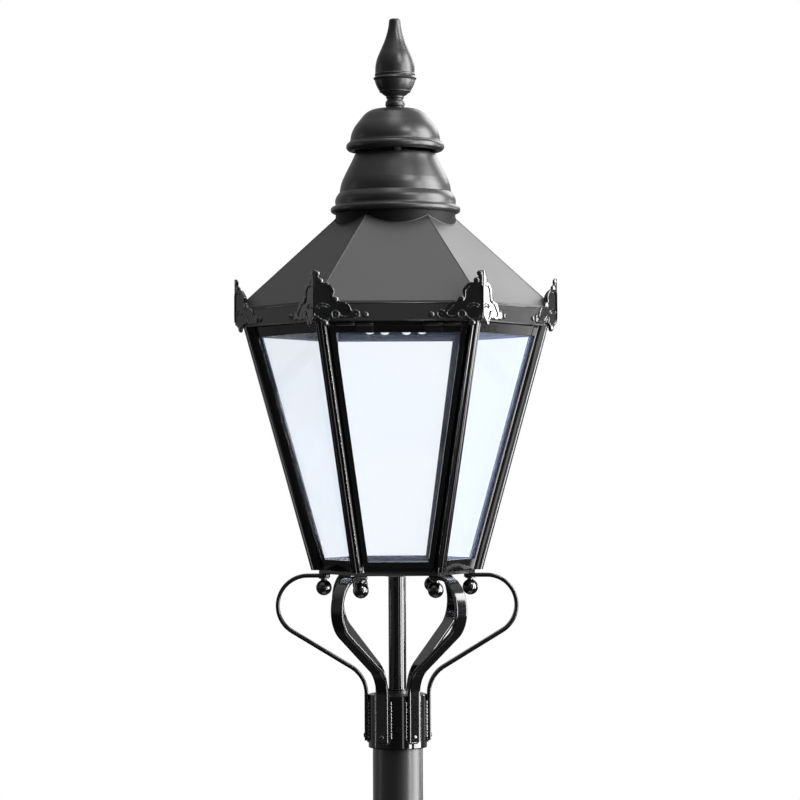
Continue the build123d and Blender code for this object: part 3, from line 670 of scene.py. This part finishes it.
def collar():
    """Turned collar the legs are welded to, and the ribbed lock ring round the conduit above it."""
    low = corner_of("frog_collar", 0)[2] - LANTERN
    high = corner_of("frog_collar", 1)[2] - LANTERN
    bore = 38.3
    outline = [(bore, low + 0.8), (bore + 0.8, low), (COLLAR_R - 1.2, low), (COLLAR_R - 0.35, low + 0.35)]
    outline += [(COLLAR_R, low + 1.2), (COLLAR_R, low + 1.8), (COLLAR_R, high - 2.2), (COLLAR_R, high - 1.6)]
    outline += [(COLLAR_R - 0.5, high - 0.5), (COLLAR_R - 1.6, high), (bore + 0.8, high), (bore, high - 0.8)]
    outline.append((bore, low + 0.8))
    turned = [(lathe(outline), LIFT)]
    assemble("collar_turned", turned, GLOSS, replaces=["frog_collar"])
    inside, outside = 13.6, 16.4
    ring = [(inside, high + 0.1), (16.0, high + 0.1), (outside, high + 0.6)]
    for z in (high + 1.8, high + 4.0, high + 6.2):
        ring += [(outside, z - 0.7), (15.5, z), (outside, z + 0.7)]
    ring += [(16.1, high + 7.6), (inside, high + 7.8), (inside, high + 0.1)]
    assemble("conduit_lock_ring", [(lathe(ring, 72), LIFT)], GLOSS, angle=50)


def ball_nuts():
    """Turned ball with a neck and a thin washer against the bar."""
    top = BALL_Z + 15.2
    outline = arc_line((0, BALL_Z), BALL_R, -90, 66, 26)
    outline += [(4.7, BALL_Z + 11.6), (4.7, BALL_Z + 13.2), (7.4, top - 1.8), (7.9, top - 1.5)]
    outline += [(7.9, top - 0.3), (7.6, top), (3.1, top)]
    outline[0] = (0, outline[0][1])
    mesh = lathe(outline, 64)
    for number, azimuth in enumerate(CORNER_AZIMUTHS, start=1):
        parts = [(mesh, LIFT @ turn(azimuth) @ place(STUD_RING_R, 0, 0))]
        name = f"ball_nut_{number}"
        assemble(name, parts, CASTING, replaces=["ball_nuts"])


def crest_wing():
    """Meshes of one wing of a corner crest: X away from the fold, Y up, Z outward."""
    outline = [(0, 380.5), (3.2, 377.2), (6.5, 374), (10.5, 371.2), (15.9, 369), (20.8, 372.2), (24.2, 375.6)]
    outline += [(27, 376.4), (31, 375.6), (35, 376.6), (38.4, 376.8), (42, 375), (50, 375.2), (53.4, 377.2)]
    outline += [(57, 376), (61.5, 376.6), (65.2, 380), (65.4, 384), (61.8, 387.4), (57.2, 387.6)]
    outline += [(54.8, 387.6), (53.6, 391.8), (50.2, 396.8), (47, 399.2), (41.3, 400.7), (37.4, 401.4)]
    outline += [(36.2, 404.8), (33, 407.8), (29.2, 407.4), (28.2, 408.8), (29.4, 412), (29.9, 415.3)]
    outline += [(28.2, 419.6), (25, 423.4), (21.5, 426.6), (16.6, 428.2), (13.4, 428.4), (12.2, 432.6)]
    outline += [(9, 435), (6.8, 435.6), (7.4, 439), (6.8, 442.6), (4, 445), (0, 445.4)]
    recess = [(1.4, 421.6), (6, 422.4), (9.8, 423.0), (13.4, 421.6), (16.7, 423.2), (19.8, 420.8)]
    recess += [(24.2, 415.6), (24.6, 409.6), (26.2, 403.2), (31, 398.4), (36.6, 397.2), (39.6, 396.6)]
    recess += [(43.2, 393.2), (47.8, 388.4), (51.6, 384.2), (50.4, 380.8), (45.2, 379.2), (40.4, 380.4)]
    recess += [(36.2, 385.2), (30.6, 387.6), (25.2, 384.2), (22.2, 378.8), (17, 374.8), (11, 375.4)]
    recess += [(5.6, 379.6), (1.4, 383.6)]
    leaf = smooth_line(outline, 4)[:-1]
    parts = [(plate(leaf, 2.2, 0.5), Matrix())]
    rim = plate(leaf, 2.3, 1.05, holes=[smooth_line([*recess, recess[0]], 4)[:-1]])
    parts.append((rim, place(0, 0, 1.4)))
    for radius, sweep in ((12.3, 52), (8.6, 50)):
        arch = arc_line((13.2, 384.9), radius, 90 - sweep, 90 + sweep, 16)
        parts.append((tube([(x, y, 2.4) for x, y in arch], 1.15), Matrix()))
    beads = [(4.7, 440.8, 4.2), (9.2, 430.4, 4.6), (31.1, 403.6, 5.0)]
    beads += [(60.6, 381.6, 3.3), (31.0, 381.8, 3.1), (15.9, 369.4, 4.7)]
    for x, y, radius in beads:
        parts.append((ball(radius, 0.5), place(x, y, 2.4)))
    ring = [(x, y, 3.2) for x, y in arc_line((31.0, 381.8), 5.3, 0, 345, 24)]
    parts.append((tube(ring, 1.05, closed=True), Matrix()))
    hook = [(x, y, 3.2) for x, y in arc_line((60.6, 381.8), 5.7, -118, 140, 24)]
    parts.append((tube(hook, 1.15), Matrix()))
    return parts


def coronets():
    """Folded crests on the fascia corners, two wings and a bar along the fold."""
    wing = crest_wing()
    back, fold_r = 2.6, CREST_R - 2.4
    parts = []
    for side in (-1, 1):
        upright = Matrix(((0, 0, 1, 0), (side, 0, 0, 0), (0, 1, 0, 0), (0, 0, 0, 1)))
        toe = Matrix.Rotation(radians(side * WING_TOE), 4, "Z")
        stood = turn(side * 30) @ place(CREST_R * COS30 - back, -side * CREST_R / 2, 0) @ toe @ upright
        for mesh, matrix in wing:
            parts.append((mesh, stood @ matrix))
    fold = tube([(fold_r, 0, 374.9), (fold_r, 0, 442.0)], 1.5)
    parts.append((fold, Matrix()))
    for number, azimuth in enumerate(CORNER_AZIMUTHS, start=1):
        name = f"crest_{number}"
        placed = [(mesh, LIFT @ turn(azimuth) @ matrix) for mesh, matrix in parts]
        assemble(name, placed, CASTING, replaces=["coronets"], angle=40)


def fascia_screws():
    """Button heads with a six-sided socket beside each crest."""
    dome = [(1.9, 1.7), (2.1, 2.75), (3.0, 2.6), (3.9, 2.0), (4.5, 1.0), (4.6, 0)]
    head = lathe(dome, 48)
    socket = lathe([(0, 1.2), (2.0, 1.2), (2.0, 2.7)], 6)
    tip = Matrix.Rotation(radians(90), 4, "Y")
    half_pitch, height = 47.75, 381.4
    parts = []
    for azimuth in FACE_AZIMUTHS:
        for side in (-1, 1):
            matrix = LIFT @ turn(azimuth) @ place(FASCIA_R * COS30, side * half_pitch, height) @ tip
            parts += [(head, matrix), (socket, matrix)]
    assemble("fascia_button_heads", parts, CASTING, replaces=["fascia_screws"])


def fascia_edges():
    """Rolled beads along the top and bottom edges of the fascia."""
    parts = []
    for height, inset, radius in ((FASCIA_HIGH - 0.7, 0.9, 1.35), (FASCIA_LOW + 0.9, 0.9, 1.05)):
        corners = []
        for azimuth in CORNER_AZIMUTHS:
            a = radians(azimuth)
            corners.append(((FASCIA_R - inset) * cos(a), (FASCIA_R - inset) * sin(a), height))
        parts.append((tube(corners, radius, closed=True), LIFT))
    assemble("fascia_edge_beads", parts, GLOSS, angle=50)


def roof_seams():
    """Folded ridge seams and the sealed joint where the round neck leaves the hipped roof."""
    rise = 0.909
    edge_z = 402.0
    far, near = ROOF_EDGE_R - 1.5, NECK_R + 1
    ridge = [(r, 0, edge_z + rise * (ROOF_EDGE_R - r) - 0.3) for r in (far, (far + near) / 2, near)]
    parts = [(tube(ridge, 0.75), LIFT @ turn(azimuth)) for azimuth in CORNER_AZIMUTHS]
    joint = []
    joint_r, steps = NECK_R + 0.6, 144
    for n in range(steps):
        angle = 2 * pi * n / steps
        from_middle = 360 * n / steps % 60 - 30
        reach = (NECK_R + 0.4) * cos(radians(from_middle))
        height = edge_z + rise / COS30 * (ROOF_EDGE_R * COS30 - reach)
        joint.append((joint_r * cos(angle), joint_r * sin(angle), height + 0.2))
    parts.append((tube(joint, 0.9, closed=True), LIFT))
    assemble("roof_seams", parts, ROOF, angle=50)


def led_lenses():
    """Moulded optics: a stepped foot ring and a bulged lens with a dimple at its tip."""
    outline = [(0, -10.5), (1.0, -10.8), (2.2, -10.9)]
    outline += smooth_line([(2.4, -10.9), (5.2, -9.6), (7.4, -6.8), (8.3, -3.4)], 5)
    outline += [(8.4, -2.7), (8.7, -2.2), (9.2, -2.0), (9.4, -1.7), (9.4, -0.2), (9.2, 0), (0, 0)]
    mesh = lathe(outline, 48)
    pitch = 360 / LENS_COUNT
    for number in range(LENS_COUNT):
        parts = [(mesh, turn(pitch / 2 + pitch * number) @ place(LENS_RING_R, 0, LED_FACE))]
        name = f"led_lens_{number + 1}"
        assemble(name, parts, LENS, replaces=["led_lenses"])


# ---- Column pieces, in the post's own heights
def bead_along(points, radius, seed, around=10):
    """A rippled weld bead along a line in space."""
    rings = []
    for n, point in enumerate(points):
        before = Vector(points[max(n - 1, 0)])
        after = Vector(points[min(n + 1, len(points) - 1)])
        along = (after - before).normalized()
        side = along.cross(Vector((1, 0, 0)) if abs(along.z) > 0.9 else Vector((0, 0, 1))).normalized()
        other = along.cross(side)
        reach = radius * (1 + 0.12 * sin(n * 1.3 + seed) + 0.05 * sin(n * 0.5 + 2 * seed))
        if n in (0, len(points) - 1):
            reach *= 0.4
        ring = []
        for step in range(around):
            angle = 2 * pi * step / around
            ring.append(tuple(Vector(point) + reach * (side * cos(angle) + other * sin(angle))))
        rings.append(ring)
    return loft(rings)


def column_welds():
    """Fillet welds: gussets to plate and tube, tube to plate, and shaft to shoulder."""
    pitch, first = 2, 3
    foot_steps = int((GUSSET_TIP_R - BASE_R - first) / pitch)
    upright_steps = int((GUSSET_TOP - PLATE_TOP) / pitch)
    clear = 4.5  # degrees left free beside a gusset's middle
    quarter = 360 / GUSSET_COUNT
    arc = arc_line((0, 0), BASE_R, clear, quarter - clear, 48)
    parts = []
    for gusset in range(GUSSET_COUNT):
        placed = turn(quarter * gusset)
        for side in (-GUSSET_HALF, GUSSET_HALF):
            foot = [(BASE_R + first + pitch * n, side, PLATE_TOP) for n in range(foot_steps)]
            upright = [(BASE_R - 0.2, side, PLATE_TOP + pitch * (n + 1)) for n in range(upright_steps)]
            for seed, path in ((gusset, foot), (gusset + 0.7, upright)):
                parts.append((bead_along(path, 2.6, seed), placed))
        parts.append((bead_along([(x, y, PLATE_TOP) for x, y in arc], 3.0, gusset), placed))
    neck = arc_line((0, 0), SHAFT_R + 0.5, 0, 359, 120)
    parts.append((bead_along([(x, y, SHOULDER_TOP) for x, y in neck], 2.2, 0.4), Matrix()))
    assemble("column_welds", parts, SATIN, angle=60)


finish_cad_pieces()
finial()
spun_dome()
spun_hood()
corner_posts()
frog_legs()
leg_welds()
collar()
ball_nuts()
coronets()
fascia_screws()
fascia_edges()
roof_seams()
led_lenses()
column_welds()


# ---- Stage: camera, lights, floor and surroundings. Metres.
def aim(thing, target):
    """Point a camera or light at a place."""
    direction = Vector(target) - thing.location
    thing.rotation_euler = direction.to_track_quat("-Z", "Y").to_euler()


def camera():
    """Level with the middle of the lantern's glazing, a little left of its door."""
    eye_x, distance = -0.075, 4.295
    eye = (LANTERN + 185) * MM
    aim_x, aim_rise = 0.0056, 0.076
    roll = radians(-0.25)
    data = bpy.data.cameras.new("camera")
    data.lens = 127
    data.sensor_width = 36
    data.clip_end = 200
    holder = bpy.data.objects.new("camera", data)
    bpy.context.scene.collection.objects.link(holder)
    holder.location = (eye_x, -distance, eye)
    aim(holder, (aim_x, 0, eye + aim_rise))
    holder.rotation_euler.rotate_axis("Z", roll)
    bpy.context.scene.camera = holder


def panel_light(name, location, target, width, height, radiance):
    """A soft box; its power follows from how bright its face should look. Hidden from the lens."""
    data = bpy.data.lights.new(name, "AREA")
    data.shape = "RECTANGLE"
    data.size = width
    data.size_y = height
    data.energy = radiance * pi * width * height
    holder = bpy.data.objects.new(name, data)
    bpy.context.scene.collection.objects.link(holder)
    holder.location = location
    aim(holder, target)
    holder.visible_camera = False


def around_post(azimuth, distance, height):
    """A place round the post: azimuth in degrees from the front, to the right."""
    angle = radians(azimuth)
    return (distance * sin(angle), -distance * cos(angle), height)


def lights():
    """Tall boxes on the right for the long highlights, small fills in front, a dim strip on the left."""
    middle = (0, 0, (LANTERN + 250) * MM)
    panel_light("key_box", around_post(84, 3.6, 3.75), (0, 0, 3.4), 2.4, 4.7, 14.0)
    panel_light("key_strip", around_post(50, 3.6, 3.2), (0, 0, 3.2), 0.6, 3.8, 19.0)
    panel_light("key_top", around_post(34, 3.1, 5.9), middle, 1.0, 0.8, 22.0)
    panel_light("key_low", around_post(42, 3.2, 1.2), middle, 0.55, 0.55, 9.0)
    panel_light("front_right_strip", around_post(20, 4.8, 3.1), (0, 0, 3.1), 0.50, 2.6, 2.2)
    panel_light("front_fill", (-0.5, -5.6, 2.75), (0, 0, 3.0), 1.8, 0.5, 0.5)
    panel_light("fascia_fill", (0.1, -5.6, 3.42), (0, 0, 3.1), 0.42, 0.45, 0.5)
    panel_light("right_fill", around_post(120.5, 3.7, 3.25), (0, 0, 3.07), 0.45, 0.6, 0.5)
    panel_light("rear_right_box", (2.3, 3.9, 5.5), middle, 2.6, 2.2, 3.8)
    panel_light("rear_right_strip", around_post(127, 3.6, 2.95), (0, 0, 3.05), 0.32, 1.0, 14.0)
    panel_light("left_strip", around_post(-100, 3.6, 3.0), (0, 0, 3.0), 0.16, 3.0, 4.0)
    panel_light("overhead_box", (0, -0.3, 6.4), middle, 0.9, 2.6, 3.6)


def surroundings():
    """White for the lens and the glass; a dim studio, lighter above, behind and left, for the paint."""
    world = bpy.data.worlds.new("studio")
    world.use_nodes = True
    nodes = world.node_tree.nodes
    links = world.node_tree.links
    nodes.clear()
    coords = nodes.new("ShaderNodeTexCoord").outputs["Generated"]
    split = nodes.new("ShaderNodeSeparateXYZ")
    links.new(coords, split.inputs[0])

    def step(value, low, high, top):
        node = nodes.new("ShaderNodeMapRange")
        node.interpolation_type = "SMOOTHSTEP"
        node.inputs["From Min"].default_value = low
        node.inputs["From Max"].default_value = high
        node.inputs["To Min"].default_value = 0.0
        node.inputs["To Max"].default_value = top
        links.new(value, node.inputs["Value"])
        return node.outputs["Result"]

    def combine(kind, first, second):
        node = nodes.new("ShaderNodeMath")
        node.operation = kind
        for socket, value in zip(node.inputs, (first, second)):
            if isinstance(value, float):
                socket.default_value = value
            else:
                links.new(value, socket)
        return node.outputs[0]

    behind = step(split.outputs["Y"], 0.0, 0.9, 0.40)
    level = step(split.outputs["Z"], -0.30, 0.02, 1.0)
    above = step(split.outputs["Z"], 0.30, 0.95, 0.65)
    left = step(combine("MULTIPLY", split.outputs["X"], -1.0), 0.3, 1.0, 0.22)
    sides = combine("MULTIPLY", combine("MAXIMUM", behind, left), level)
    glow = combine("ADD", combine("MAXIMUM", sides, above), 0.04)
    studio = nodes.new("ShaderNodeBackground")
    studio.inputs["Color"].default_value = (1, 1, 1, 1)
    links.new(glow, studio.inputs["Strength"])
    white = nodes.new("ShaderNodeBackground")
    white.inputs["Color"].default_value = (1, 1, 1, 1)
    white.inputs["Strength"].default_value = 1.0
    path = nodes.new("ShaderNodeLightPath")
    seen = combine("MAXIMUM", path.outputs["Is Camera Ray"], path.outputs["Is Transmission Ray"])
    mix = nodes.new("ShaderNodeMixShader")
    links.new(seen, mix.inputs["Fac"])
    links.new(studio.outputs[0], mix.inputs[1])
    links.new(white.outputs[0], mix.inputs[2])
    output = nodes.new("ShaderNodeOutputWorld")
    links.new(mix.outputs[0], output.inputs["Surface"])
    bpy.context.scene.world = world


def floor():
    """A plain pale disc that fades out towards its rim."""
    radius = 1.7
    drop = -1
    mesh = lathe([(0, drop), (radius / MM / 2, drop), (radius / MM, drop)], 96)
    material, nodes, links, shader, coords = principled("floor")
    shader.inputs["Base Color"].default_value = (0.50, 0.50, 0.50, 1)
    shader.inputs["Roughness"].default_value = 0.9
    length = nodes.new("ShaderNodeVectorMath")
    length.operation = "LENGTH"
    links.new(coords, length.inputs[0])
    fade = nodes.new("ShaderNodeMapRange")
    fade.interpolation_type = "SMOOTHSTEP"
    fade.inputs["From Min"].default_value = radius * 0.25
    fade.inputs["From Max"].default_value = radius * 0.98
    fade.inputs["To Min"].default_value = 1.0
    fade.inputs["To Max"].default_value = 0.0
    links.new(length.outputs["Value"], fade.inputs["Value"])
    links.new(fade.outputs["Result"], shader.inputs["Alpha"])
    mesh.materials.append(material)
    disc = bpy.data.objects.new("floor", mesh)
    bpy.context.scene.collection.objects.link(disc)


camera()
lights()
surroundings()
floor()
bpy.context.scene.view_settings.view_transform = "Standard"
